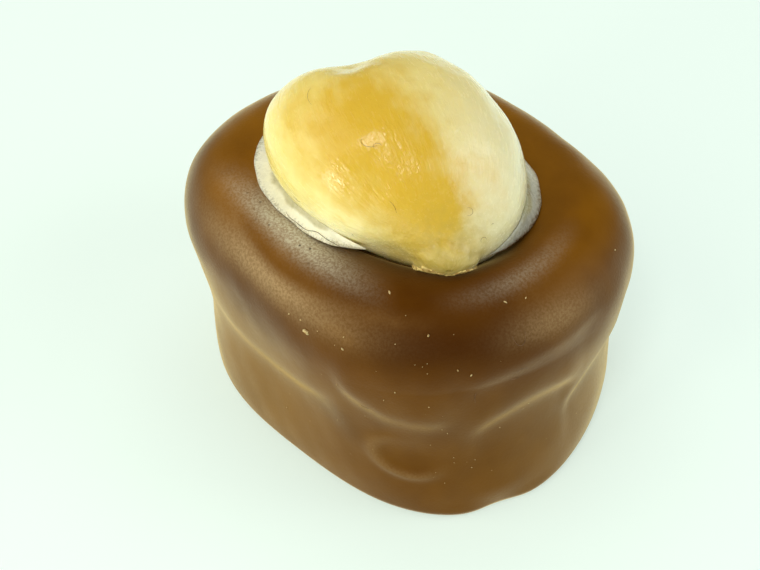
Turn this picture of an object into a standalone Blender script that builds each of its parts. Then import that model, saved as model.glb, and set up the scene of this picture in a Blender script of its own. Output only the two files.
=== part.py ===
"""Praline: an oval coat of milk chocolate with a whole blanched hazelnut set in its top.

Units are metres and +Z is up. +X runs along the longer way of the oval. The origin is on the
table, under the middle of the piece. Angles in plan are turns in degrees from +X towards +Y.

The chocolate is a loft of uneven oval rings. Its section climbs from the hollow under the nut
over a rounded rim to the side, which narrows at a waist and spreads again at the foot. Soft
folds, a thumb dent and a nick in the foot are relief on the side. The nut is an uneven
ellipsoid with a pointed tip and a groove at its blunt end. A pale collar of set fat fills the
corner between the two and is open under the tip.
"""

import math

import bmesh
import bpy
import numpy as np

MM = 0.001

# Coat: heights of its main rings and their mean radii
COAT_HEIGHT = 15.65 * MM
WIDEST_HEIGHT = 11.0 * MM
WAIST_HEIGHT = 5.8 * MM
WIDEST_RADIUS = 13.4 * MM
WAIST_RADIUS = 13.09 * MM
FOOT_RADIUS = 13.63 * MM
FOOT_EDGE = 0.7 * MM
CREST_RADIUS = 9.35 * MM
SHOULDER_FULLNESS = 2.3

# Coat: where the middle of the rim and of the foot lie
RIM_MIDDLE = np.array((-0.36, -0.37)) * MM
FOOT_MIDDLE = np.array((0.54, -0.20)) * MM

# Outline: waves round the oval, as count, size and turn of a peak at the foot, then at the rim
OUTLINE_WAVES = (
    (2, 0.071, -7.0, 0.093, 8.0),
    (3, 0.016, -37.0, 0.009, -48.0),
    (4, 0.029, -32.0, 0.032, 35.0),
)

# Folds of the coat: turns of both ends, heights at the start, middle and end, and depth
FOLDS = (
    (236, 296, 7.5 * MM, 6.9 * MM, 8.2 * MM, 0.18 * MM),
    (293, 327, 10.4 * MM, 8.2 * MM, 8.2 * MM, 0.20 * MM),
    (327, 364, 6.5 * MM, 8.3 * MM, 7.6 * MM, 0.23 * MM),
    (-4, 24, 5.0 * MM, 7.4 * MM, 7.9 * MM, 0.19 * MM),
    (326, 372, 10.6 * MM, 11.8 * MM, 12.5 * MM, 0.14 * MM),
    (30, 112, 8.2 * MM, 7.2 * MM, 8.4 * MM, 0.26 * MM),
    (118, 176, 9.2 * MM, 7.6 * MM, 7.4 * MM, 0.28 * MM),
    (172, 232, 6.6 * MM, 7.8 * MM, 7.2 * MM, 0.24 * MM),
)
FOLD_SHARPNESS = 0.8 * MM
FOLD_REACH = 2.6 * MM
FOLD_END_FADE = 0.4

# Thumb dent in the front, with a lip along its lower left
DENT_TURN = 314.0
DENT_HEIGHT = 5.1 * MM
DENT_HALF_SIZE = (2.2 * MM, 1.45 * MM)
DENT_DEPTH = 0.12 * MM
DENT_WIDTH = 0.75
DENT_LIP = 0.15 * MM
DENT_LIP_PLACE = 1.05
DENT_LIP_WIDTH = 0.25

# Nick in the foot
NICK_TURN = 336.0
NICK_HALF_WIDTH = 1.6 * MM
NICK_HEIGHT = 2.4 * MM
NICK_DEPTH = 0.45 * MM

# Nut: its middle, half sizes, turn of its long axis and how far that axis dips (degrees)
NUT_MIDDLE = np.array((-0.90, -1.24, 18.10)) * MM
NUT_HALF_SIZE = (8.36 * MM, 6.63 * MM, 5.62 * MM)
NUT_TURN = 13.5
NUT_DIP = -11.6

# Nut: swellings and the groove, as turn, rise (degrees), height and angular width (radians)
NUT_TIP_TURN = -23.1
NUT_TIP_RISE = -14.2
NUT_SWELLINGS = (
    (NUT_TIP_TURN, NUT_TIP_RISE, 0.51 * MM, 0.55),
    (NUT_TIP_TURN, NUT_TIP_RISE, 0.47 * MM, 0.17),
    (1.9, -18.4, 0.82 * MM, 0.45),
    (171.7, 32.7, -2.06 * MM, 0.595),
    (-160.0, 62.6, -0.34 * MM, 0.17),
    (-150.0, 40.0, 0.36 * MM, 0.26),
)

# Hollow that holds the nut: the gaps between pieces, where its wall leaves the nut (degrees),
# how much higher it does so under the tip, and how far the inner slope follows that wall
GAP = 0.30 * MM
HOLLOW_GAP = 0.44 * MM
CONTACT_RISE = -32.0
TIP_CONTACT_LIFT = 8.0
TIP_CONTACT_WIDTH = 30.0
SLOPE_PULL = 0.45
SMALL_ANGLE = 0.05
SMALL_SHARE = 0.02

# Collar: turns of its two ends and where it is narrowest (degrees), how far up the inner slope
# its toe reaches there and at most on the left and on the right, and how fast its ends grow
COLLAR_ENDS = (-8.0, 303.0)
COLLAR_THIN_TURN = 325.0
COLLAR_RIGHT_TURN = 45.0
COLLAR_LEAST_REACH = 0.50
COLLAR_REACH = (0.94, 0.70)
COLLAR_WIDENING = 4.0
COLLAR_END_TAPER = 9.0

# Collar: its section, as degrees round the nut on the left and on the right, and its fullness
COLLAR_HEEL_RISE = 9.0
COLLAR_TOP_RISE = (-11.0, -8.0)
COLLAR_SHOULDER_DROP = (1.5, 4.0)
COLLAR_FULLNESS = 0.30
COLLAR_ROUNDING = 0.6
COLLAR_GAPS = (1.4 * GAP, 2.2 * GAP)
COLLAR_TOE_GAP = 1.5 * GAP

# Steps of the meshes
COAT_COLUMNS = 90
COAT_RINGS = {"hollow": 6, "slope": 6, "shoulder": 8, "side": 15, "foot": 3}
NUT_COLUMNS = 48
NUT_RINGS = 25
COLLAR_COLUMNS = 10
COLLAR_RINGS = 58
SHARP_EDGE = 50.0

# Finishes: linear colour and roughness
CHOCOLATE_BROWN = (0.085, 0.030, 0.009, 1.0)
CHOCOLATE_ROUGHNESS = 0.38
NUT_CREAM = (0.72, 0.50, 0.20, 1.0)
NUT_ROUGHNESS = 0.42
COLLAR_IVORY = (0.48, 0.45, 0.30, 1.0)
COLLAR_ROUGHNESS = 0.35


def smooth_step(value):
    """0 below 0, 1 above 1, and a smooth climb between them."""
    value = np.clip(value, 0.0, 1.0)
    return value * value * (3.0 - 2.0 * value)


def blend(first, second, share):
    """Goes in a straight line from first at share 0 to second at share 1."""
    return first + (second - first) * share


def heading(turn, rise):
    """Unit vectors that point at a turn in plan and a rise above the horizon, in radians."""
    turn, rise = np.broadcast_arrays(turn, rise)
    level = np.cos(rise)
    return np.stack([np.cos(turn) * level, np.sin(turn) * level, np.sin(rise)], -1)


def unit(vectors):
    """The same directions at length 1."""
    return vectors / np.linalg.norm(vectors, axis=-1, keepdims=True)


def angle_from(turn, degrees_from):
    """Turn measured from a given one, between -180 and 180 degrees, in radians."""
    return (turn - math.radians(degrees_from) + math.pi) % math.tau - math.pi


def nut_radius(directions):
    """How far the nut reaches from its middle along each direction.

    An ellipsoid on its own tilted axes, with Gaussian swellings for the cone of the tip, its
    point and the fuller cheek, and a Gaussian hollow for the groove at the blunt end.
    """
    turn, dip = math.radians(NUT_TURN), math.radians(NUT_DIP)
    along = heading(turn, dip)
    across = heading(turn + math.pi / 2.0, 0.0)
    upward = np.cross(along, across)
    shares = [directions @ axis / size for axis, size in zip((along, across, upward), NUT_HALF_SIZE)]
    radius = 1.0 / np.sqrt(sum(share**2 for share in shares))
    for turn, rise, height, width in NUT_SWELLINGS:
        peak = heading(math.radians(turn), math.radians(rise))
        angle = np.arccos(np.clip(directions @ peak, -1.0, 1.0))
        radius = radius + height * np.exp(-((angle / width) ** 2))
    return radius


def around_nut(turn, rise, gap):
    """Points round the nut's middle, a gap outside its surface."""
    directions = heading(turn, rise)
    return NUT_MIDDLE + directions * (nut_radius(directions) + gap)[..., None]


def outline(turn, rim_share):
    """Radius factor of the oval: the waves of the foot blend into those of the rim."""
    factor = 1.0
    for count, foot_size, foot_peak, rim_size, rim_peak in OUTLINE_WAVES:
        foot = foot_size * np.cos(count * (turn - math.radians(foot_peak)))
        rim = rim_size * np.cos(count * (turn - math.radians(rim_peak)))
        factor = factor + blend(foot, rim, rim_share)
    return factor


def fold_relief(turn, height):
    """Outward offset of the folds: full above a fold's sagging line, drawn in below it."""
    offset = 0.0
    for start, end, start_height, middle_height, end_height, depth in FOLDS:
        half = math.radians(end - start) / 2.0
        along = angle_from(turn, (start + end) / 2.0) / half
        bend = (start_height + end_height) / 2.0 - middle_height
        line = middle_height + (end_height - start_height) / 2.0 * along + bend * along**2
        window = smooth_step((1.0 - np.abs(along)) / FOLD_END_FADE)
        over = height - line
        step = np.tanh(over / FOLD_SHARPNESS) * np.exp(-((over / FOLD_REACH) ** 2))
        offset = offset + depth * window * step
    return offset


def dent_relief(turn, height):
    """Outward offset of the thumb dent: a Gaussian hollow with a crescent lip at lower left."""
    along = angle_from(turn, DENT_TURN) * WAIST_RADIUS / DENT_HALF_SIZE[0]
    up = (height - DENT_HEIGHT) / DENT_HALF_SIZE[1]
    distance = np.hypot(along, up)
    hollow = DENT_DEPTH * np.exp(-((distance / DENT_WIDTH) ** 2))
    lower_left = smooth_step((1.0 - up - along) / 2.0)
    lip = DENT_LIP * np.exp(-(((distance - DENT_LIP_PLACE) / DENT_LIP_WIDTH) ** 2))
    return lip * lower_left - hollow


def nick_relief(turn, height):
    """Outward offset of the nick in the foot, which fades upwards."""
    along = angle_from(turn, NICK_TURN) * FOOT_RADIUS / NICK_HALF_WIDTH
    return -NICK_DEPTH * np.exp(-(along**2)) * smooth_step(1.0 - height / NICK_HEIGHT)


def ring_point(turn, height, radius, rim_share):
    """Points of one uneven oval ring, with its relief, which is weaker under the foot's edge."""
    relief = fold_relief(turn, height) + dent_relief(turn, height) + nick_relief(turn, height)
    reach = radius * outline(turn, rim_share) + relief * smooth_step(0.5 + height / FOOT_EDGE)
    middle = blend(FOOT_MIDDLE, RIM_MIDDLE, rim_share)
    x = middle[0] + reach * np.cos(turn)
    y = middle[1] + reach * np.sin(turn)
    return np.stack([x, y, np.full_like(x, height)], -1)


def side_point(turn, height):
    """Side of the coat: from the widest ring in to the waist, then out to the foot."""
    above = smooth_step((height - WAIST_HEIGHT) / (WIDEST_HEIGHT - WAIST_HEIGHT))
    below = smooth_step((WAIST_HEIGHT - height) / (WAIST_HEIGHT - FOOT_EDGE))
    radius = WAIST_RADIUS + (WIDEST_RADIUS - WAIST_RADIUS) * above + (FOOT_RADIUS - WAIST_RADIUS) * below
    under = np.clip(1.0 - height / FOOT_EDGE, 0.0, 1.0)
    radius = radius - FOOT_EDGE * (1.0 - np.sqrt(1.0 - under**2))
    return ring_point(turn, height, radius, height / WIDEST_HEIGHT)


def shoulder_point(turn, share):
    """Shoulder: share 0 is the crest of the rim and share 1 the widest ring."""
    climb = math.cos(share * math.pi / 2.0)
    height = blend(WIDEST_HEIGHT, COAT_HEIGHT, climb)
    radius = blend(CREST_RADIUS, WIDEST_RADIUS, math.sqrt(1.0 - climb**SHOULDER_FULLNESS))
    return ring_point(turn, height, radius, 1.0)


def contact_rise(turn):
    """Rise at which the hollow's wall leaves the nut: higher up under the tip."""
    tip = np.exp(-((angle_from(turn, NUT_TIP_TURN) / math.radians(TIP_CONTACT_WIDTH)) ** 2))
    return np.radians(CONTACT_RISE + TIP_CONTACT_LIFT * tip)


def slope_point(turn, share):
    """Inner slope: share 0 leaves the nut along its wall and share 1 is level at the crest."""
    rise = contact_rise(turn)
    contact = around_nut(turn, rise, HOLLOW_GAP)
    wall = unit(contact - around_nut(turn, rise - SMALL_ANGLE, HOLLOW_GAP))
    crest = shoulder_point(turn, 0.0)
    span = np.linalg.norm(crest - contact, axis=-1, keepdims=True)
    s = np.broadcast_to(share, turn.shape)[..., None]
    start = (2 * s**3 - 3 * s**2 + 1) * contact + (s**3 - 2 * s**2 + s) * wall * span * SLOPE_PULL
    end = (3 * s**2 - 2 * s**3) * crest + (s**3 - s**2) * heading(turn, 0.0) * span
    return start + end


def over_slope(turn, share, gap):
    """Points a gap above the inner slope, square to it."""
    run = slope_point(turn, share + SMALL_SHARE) - slope_point(turn, share - SMALL_SHARE)
    normal = unit(np.cross(run, heading(turn + math.pi / 2.0, 0.0)))
    return slope_point(turn, share) + gap * normal


def hollow_point(turn, share):
    """Hollow under the nut: share 0 is its lowest point and share 1 where the wall leaves it."""
    rise = blend(-math.pi / 2.0, contact_rise(turn), share)
    return around_nut(turn, rise, HOLLOW_GAP)


def coat_rings():
    """Rings of the coat from the hollow down to the foot, as (function, value) pairs."""
    rings = []
    for step in range(1, COAT_RINGS["hollow"] + 1):
        rings.append((hollow_point, step / COAT_RINGS["hollow"]))
    for step in range(1, COAT_RINGS["slope"]):
        rings.append((slope_point, step / COAT_RINGS["slope"]))
    for step in range(COAT_RINGS["shoulder"]):
        rings.append((shoulder_point, step / COAT_RINGS["shoulder"]))
    for step in range(COAT_RINGS["side"]):
        rings.append((side_point, blend(WIDEST_HEIGHT, FOOT_EDGE, step / COAT_RINGS["side"])))
    for step in range(COAT_RINGS["foot"] + 1):
        angle = step / COAT_RINGS["foot"] * math.pi / 2.0
        rings.append((side_point, FOOT_EDGE * (1.0 - math.sin(angle))))
    return rings


def place_coat(turn, ring, last):
    """Places of the coat's points: the poles are the middles of the hollow and of the base."""
    points = np.zeros(turn.shape + (3,))
    points[ring == 0] = hollow_point(np.zeros(1), 0.0)
    points[ring == last] = (*FOOT_MIDDLE, 0.0)
    for number, (section, value) in enumerate(coat_rings(), start=1):
        on_ring = ring == number
        points[on_ring] = section(turn[on_ring], value)
    return points


def place_nut(turn, ring, last):
    """Places of the nut's points, one direction for each."""
    rise = blend(math.pi / 2.0, -math.pi / 2.0, ring / last)
    return around_nut(turn, rise, 0.0)


def rounded(value):
    """Bends a cosine or sine towards its ends, which turns a circle into a rounded square."""
    return np.sign(value) * np.abs(value) ** COLLAR_ROUNDING


def place_collar(around, ring, last):
    """Places of the collar's points: a rounded section carried round the nut, thin at both ends.

    The section has four corners: its heel deep between nut and slope, its toe out on the slope,
    its shoulder, and its top against the nut. It reaches least in front, beside the nut's tip.
    """
    share = ring / last
    turn = np.radians(blend(*COLLAR_ENDS, share))
    behind = 0.5 - 0.5 * np.cos(turn - math.radians(COLLAR_THIN_TURN))
    right = smooth_step(0.5 + 0.5 * np.cos(turn - math.radians(COLLAR_RIGHT_TURN)))
    toe_share = blend(COLLAR_LEAST_REACH, blend(*COLLAR_REACH, right), smooth_step(COLLAR_WIDENING * behind))
    size = np.sqrt(smooth_step(COLLAR_END_TAPER * (0.5 - np.abs(share - 0.5))))
    clear = blend(*COLLAR_GAPS, 1.0 - size)
    heel = around_nut(turn, contact_rise(turn) + math.radians(COLLAR_HEEL_RISE), clear)
    top_rise = np.radians(blend(*COLLAR_TOP_RISE, right))
    top = around_nut(turn, top_rise, clear)
    shoulder_rise = top_rise - np.radians(blend(*COLLAR_SHOULDER_DROP, right))
    span = np.linalg.norm(shoulder_point(turn, 0.0) - heel, axis=-1)
    shoulder = around_nut(turn, shoulder_rise, clear + COLLAR_FULLNESS * toe_share * span)
    toe = over_slope(turn, toe_share, COLLAR_TOE_GAP)
    outward = (0.5 + 0.5 * rounded(np.cos(around)))[..., None]
    upward = (0.5 - 0.5 * rounded(np.sin(around)))[..., None]
    section = blend(blend(heel, toe, outward), blend(top, shoulder, outward), upward)
    middle = (heel + toe + shoulder + top) / 4.0
    return blend(middle, section, size[..., None])


def principled(name, colour, roughness):
    """A material with one Principled shader."""
    material = bpy.data.materials.new(name)
    material.use_nodes = True
    shader = material.node_tree.nodes["Principled BSDF"]
    shader.inputs["Base Color"].default_value = colour
    shader.inputs["Roughness"].default_value = roughness
    shader.inputs["Metallic"].default_value = 0.0
    return material


def shaped_ball(name, columns, rings, place, material, collection):
    """A closed ball of rings and columns, with every point moved to where place puts it.

    place takes each point's turn round the ball, its ring counted from the top pole, and the
    number of the last ring.
    """
    shape = bmesh.new()
    bmesh.ops.create_uvsphere(shape, u_segments=columns, v_segments=rings, radius=1.0)
    ball = np.array([vertex.co for vertex in shape.verts])
    turn = np.arctan2(ball[:, 1], ball[:, 0])
    ring = np.rint(np.arccos(np.clip(ball[:, 2], -1.0, 1.0)) / math.pi * rings).astype(int)
    for vertex, point in zip(shape.verts, place(turn, ring, rings)):
        vertex.co = point
    if shape.calc_volume(signed=True) < 0.0:
        bmesh.ops.reverse_faces(shape, faces=shape.faces)
    mesh = bpy.data.meshes.new(name)
    shape.to_mesh(mesh)
    shape.free()
    mesh.shade_smooth()
    mesh.set_sharp_from_angle(angle=math.radians(SHARP_EDGE))
    mesh.materials.append(material)
    collection.objects.link(bpy.data.objects.new(name, mesh))


def clear_scene():
    """Removes the scene's objects."""
    for item in list(bpy.data.objects):
        bpy.data.objects.remove(item, do_unlink=True)


def build_praline():
    """Builds the coat, the nut and the collar in a collection of their own."""
    praline = bpy.data.collections.new("praline_chocolate")
    bpy.context.scene.collection.children.link(praline)
    chocolate = principled("milk_chocolate", CHOCOLATE_BROWN, CHOCOLATE_ROUGHNESS)
    kernel = principled("blanched_hazelnut", NUT_CREAM, NUT_ROUGHNESS)
    fat = principled("set_fat", COLLAR_IVORY, COLLAR_ROUGHNESS)
    coat_last = len(coat_rings()) + 1
    shaped_ball("chocolate_body", COAT_COLUMNS, coat_last, place_coat, chocolate, praline)
    shaped_ball("hazelnut", NUT_COLUMNS, NUT_RINGS, place_nut, kernel, praline)
    shaped_ball("nut_collar", COLLAR_COLUMNS, COLLAR_RINGS, place_collar, fat, praline)


clear_scene()
build_praline()
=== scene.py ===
"""Praline chocolate, dressed: milk chocolate coat, blanched hazelnut, collar of set fat and fine litter.

Every piece is a closed skin over a numpy grid, in metres, in the frame of the CAD part. Turns are
measured in plan from +X towards +Y and rises from the horizon, both about a stated middle.
"""

import logging
import math
from dataclasses import dataclass, field
from enum import Enum

import bpy
import numpy as np
from mathutils import Matrix, Vector


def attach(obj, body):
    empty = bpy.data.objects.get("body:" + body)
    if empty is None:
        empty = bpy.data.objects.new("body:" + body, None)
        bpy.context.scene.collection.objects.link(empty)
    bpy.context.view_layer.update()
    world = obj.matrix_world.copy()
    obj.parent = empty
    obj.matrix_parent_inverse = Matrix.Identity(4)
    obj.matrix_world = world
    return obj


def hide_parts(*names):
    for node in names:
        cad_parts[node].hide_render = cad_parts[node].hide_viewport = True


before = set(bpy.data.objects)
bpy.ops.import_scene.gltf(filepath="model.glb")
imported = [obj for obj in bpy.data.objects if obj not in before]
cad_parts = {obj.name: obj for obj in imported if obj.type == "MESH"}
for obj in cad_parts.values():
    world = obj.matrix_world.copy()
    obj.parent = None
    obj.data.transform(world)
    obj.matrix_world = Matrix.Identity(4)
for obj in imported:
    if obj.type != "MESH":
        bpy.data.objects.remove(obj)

MM = 0.001
Colour = tuple[float, float, float]
Lobe = tuple[float, float, float, float]
Socket = bpy.types.NodeSocket
report = logging.getLogger("praline")


class Slot(Enum):
    """Material slots of the record."""

    CHOCOLATE = "milk_chocolate"
    NUT = "blanched_hazelnut"
    FAT = "set_fat"


class Zone(Enum):
    """Stretches of the coat's section, with the number of rings that each gets."""

    HOLLOW = 10
    SLOPE = 40
    SHOULDER = 44
    SIDE = 96
    FOOT = 14

    def shares(self, first: int = 0, extra: int = 0) -> list[float]:
        """Shares of the way through, from a first ring to some extra ones past the last."""
        return [ring / self.value for ring in range(first, self.value + extra)]


def smooth_step(value: np.ndarray | float) -> np.ndarray:
    """0 below 0, 1 above 1, and 3v^2 - 2v^3 between them."""
    value = np.clip(value, 0.0, 1.0)
    return value * value * (3.0 - 2.0 * value)


def blend(first: np.ndarray | float, second: np.ndarray | float, share: np.ndarray | float) -> np.ndarray:
    """first + (second - first) * share."""
    return first + (second - first) * share


def bell(value: np.ndarray | float) -> np.ndarray:
    """exp(-v^2): 1 at 0, falling to nothing by about 2 either way."""
    return np.exp(-np.square(value))


def heading(turn: np.ndarray | float, rise: np.ndarray | float) -> np.ndarray:
    """Unit vectors (cos t cos r, sin t cos r, sin r)."""
    turn, rise = np.broadcast_arrays(turn, rise)
    level = np.cos(rise)
    return np.stack([np.cos(turn) * level, np.sin(turn) * level, np.sin(rise)], -1)


def unit(vectors: np.ndarray) -> np.ndarray:
    """The same directions at length 1."""
    return vectors / np.maximum(np.linalg.norm(vectors, axis=-1, keepdims=True), 1e-12)


def angle_from(turn: np.ndarray, degrees_from: float) -> np.ndarray:
    """Turn measured from a given one in degrees, wrapped to -pi..pi radians."""
    return (turn - math.radians(degrees_from) + math.pi) % math.tau - math.pi


def near_turn(turn: np.ndarray, middle: float, width: float) -> np.ndarray:
    """exp(-(angle / width)^2) of the turn's angle from a middle, both given in degrees."""
    return bell(angle_from(turn, middle) / math.radians(width))


@dataclass(frozen=True)
class Ripple:
    """A smooth uneven field in space: seeded sine waves that run every way."""

    seed: int
    length: float
    height: float
    count: int = 24

    def at(self, points: np.ndarray) -> np.ndarray:
        """height * sqrt(2/n) * sum over waves of sin(2 pi way.p / length_i + phase_i).

        Args:
            points: places, shape (..., 3).

        Returns:
            The field's value at each place, with a standard deviation of about height.
        """
        draw = np.random.default_rng(self.seed)
        ways = unit(draw.normal(size=(self.count, 3)))
        lengths = self.length * draw.uniform(0.6, 1.7, self.count)
        phases = draw.uniform(0.0, math.tau, self.count)
        waves = np.sin(points @ (ways / lengths[:, None]).T * math.tau + phases)
        return self.height * math.sqrt(2.0 / self.count) * waves.sum(-1)


@dataclass
class Skin:
    """One closed skin: points, faces and named values at its points."""

    points: np.ndarray
    faces: list[list[int]]
    values: dict[str, np.ndarray] = field(default_factory=dict)

    @staticmethod
    def over(rows: np.ndarray, first: np.ndarray, last: np.ndarray,
             values: dict[str, np.ndarray] | None = None) -> "Skin":
        """Quads over a grid that runs round in its columns, with a fan of triangles at each pole.

        Args:
            rows: grid of places, shape (rows, columns, 3), without the poles.
            first: place of the pole before the first row.
            last: place of the pole after the last row.
            values: named values, shape (rows, columns) or (rows, columns, 3). A pole takes the
                mean of its neighbouring row.

        Returns:
            The skin, with its faces turned outwards.
        """
        count, columns = rows.shape[:2]
        index = np.arange(count * columns).reshape(count, columns) + 1
        beside = np.roll(index, -1, axis=1)
        quads = np.stack([index[:-1], index[1:], beside[1:], beside[:-1]], -1).reshape(-1, 4)
        end = count * columns + 1
        top = np.stack([np.zeros(columns, int), index[0], beside[0]], -1)
        bottom = np.stack([index[-1], np.full(columns, end), beside[-1]], -1)
        points = np.concatenate([first[None], rows.reshape(-1, 3), last[None]])
        halves = np.concatenate([quads[:, [0, 1, 2]], quads[:, [0, 2, 3]], top, bottom])
        a, b, c = (points[halves[:, corner]] for corner in range(3))
        if np.einsum("ij,ij->i", a, np.cross(b, c)).sum() < 0.0:
            quads, top, bottom = quads[:, ::-1], top[:, ::-1], bottom[:, ::-1]
        spread = {}
        for name, grid in (values or {}).items():
            flat = grid.reshape((count * columns,) + grid.shape[2:])
            spread[name] = np.concatenate([grid[0].mean(0)[None], flat, grid[-1].mean(0)[None]])
        return Skin(points, quads.tolist() + top.tolist() + bottom.tolist(), spread)

    @staticmethod
    def joined(skins: list["Skin"]) -> "Skin":
        """All the skins as one, each still closed by itself."""
        faces, start = [], 0
        for skin in skins:
            faces += [[corner + start for corner in face] for face in skin.faces]
            start += len(skin.points)
        values = {name: np.concatenate([skin.values[name] for skin in skins]) for name in skins[0].values}
        return Skin(np.concatenate([skin.points for skin in skins]), faces, values)

    def piece(self, name: str, material: bpy.types.Material, slot: Slot,
              *stands_for: str) -> bpy.types.Object:
        """Puts the skin into the scene as one piece that rides on the part.

        Args:
            name: name of the piece.
            material: its finish.
            slot: the record's material slot that it belongs to. Not used.
            stands_for: the CAD nodes that it replaces, if any.

        Returns:
            The piece.
        """
        mesh = bpy.data.meshes.new(name)
        mesh.from_pydata(self.points, [], self.faces)
        mesh.shade_smooth()
        for title, value in self.values.items():
            kind, key = ("FLOAT", "value") if value.ndim == 1 else ("FLOAT_VECTOR", "vector")
            mesh.attributes.new(title, kind, "POINT").data.foreach_set(key, value.ravel())
        mesh.materials.append(material)
        made = bpy.data.objects.new(name, mesh)
        bpy.context.scene.collection.objects.link(made)
        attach(made, "root")
        if stands_for:
            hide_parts(*stands_for)
        report.info("%s: %d points, %d faces", name, len(self.points), len(self.faces))
        return made


class Recipe:
    """Lays out one procedural material round a Principled shader."""

    def __init__(self, name: str) -> None:
        """Starts the material with its shader and the piece's own coordinates."""
        self.material = bpy.data.materials.new(name)
        self.material.use_nodes = True
        self.tree = self.material.node_tree
        self.shader = self.tree.nodes["Principled BSDF"]
        self.place = self.tree.nodes.new("ShaderNodeTexCoord").outputs["Object"]

    def node(self, kind: str, inputs: dict, **settings: object) -> bpy.types.Node:
        """Adds a node.

        Args:
            kind: its type without the ShaderNode in front.
            inputs: what goes into each input, by name or number: a value or another socket.
            settings: its other settings.

        Returns:
            The node.
        """
        made = self.tree.nodes.new("ShaderNode" + kind)
        for key, value in settings.items():
            setattr(made, key, value)
        for key, value in inputs.items():
            self.feed(made.inputs[key], value)
        return made

    def feed(self, socket: Socket, value: object) -> None:
        """Sets a socket to a value, or links another socket to it."""
        if isinstance(value, Socket):
            self.tree.links.new(value, socket)
        elif isinstance(value, tuple) and len(value) == 3 and socket.type == "RGBA":
            socket.default_value = (*value, 1.0)
        else:
            socket.default_value = value

    def set(self, **inputs: object) -> None:
        """Sets inputs of the shader. An underscore in a name stands for a space."""
        for key, value in inputs.items():
            self.feed(self.shader.inputs[key.replace("_", " ")], value)

    def noise(self, size: float, detail: float = 2.0, vector: Socket | None = None,
              lump: float = 0.5) -> Socket:
        """Cloudy noise from 0 to 1, with lumps of about size metres on the piece."""
        inputs = {"Vector": vector or self.place, "Scale": 1.0 / size, "Detail": detail, "Roughness": lump}
        return self.node("TexNoise", inputs).outputs["Fac"]

    def cells(self, size: float) -> Socket:
        """Distance to the nearest of scattered points, about size metres apart."""
        return self.node("TexVoronoi", {"Vector": self.place, "Scale": 1.0 / size}).outputs["Distance"]

    def value_of(self, name: str) -> Socket:
        """A named value of the piece's points."""
        return self.node("Attribute", {}, attribute_name=name).outputs["Fac"]

    def vector_of(self, name: str) -> Socket:
        """A named vector of the piece's points."""
        return self.node("Attribute", {}, attribute_name=name).outputs["Vector"]

    def step(self, value: Socket, low: float, high: float, start: float = 0.0,
             end: Socket | float = 1.0) -> Socket:
        """Smooth step of a value from start at low to end at high."""
        inputs = {"Value": value, "From Min": low, "From Max": high, "To Min": start, "To Max": end}
        return self.node("MapRange", inputs, interpolation_type="SMOOTHSTEP").outputs[0]

    def sum_of(self, first: Socket | float, second: Socket | float) -> Socket:
        """first + second."""
        return self.node("Math", {0: first, 1: second}, operation="ADD").outputs[0]

    def product(self, first: Socket | float, second: Socket | float) -> Socket:
        """first * second."""
        return self.node("Math", {0: first, 1: second}, operation="MULTIPLY").outputs[0]

    def patchy(self, name: str, cloud: Socket, low: float, high: float, start: float, end: float) -> Socket:
        """A named value times a smooth step of a cloud, which makes its patch uneven."""
        return self.product(self.value_of(name), self.step(cloud, low, high, start, end))

    def tint(self, share: Socket | float, first: object, second: object) -> Socket:
        """Colour that goes from first to second with share."""
        return self.node("Mix", {0: share, 6: first, 7: second}, data_type="RGBA").outputs[2]

    def relief(self, height: Socket, depth: float, below: Socket | None = None) -> Socket:
        """Normals that show a height from 0 to 1 as that depth in metres."""
        inputs = {"Height": height, "Distance": depth, "Strength": 1.0}
        if below is not None:
            inputs["Normal"] = below
        return self.node("Bump", inputs).outputs["Normal"]


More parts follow.
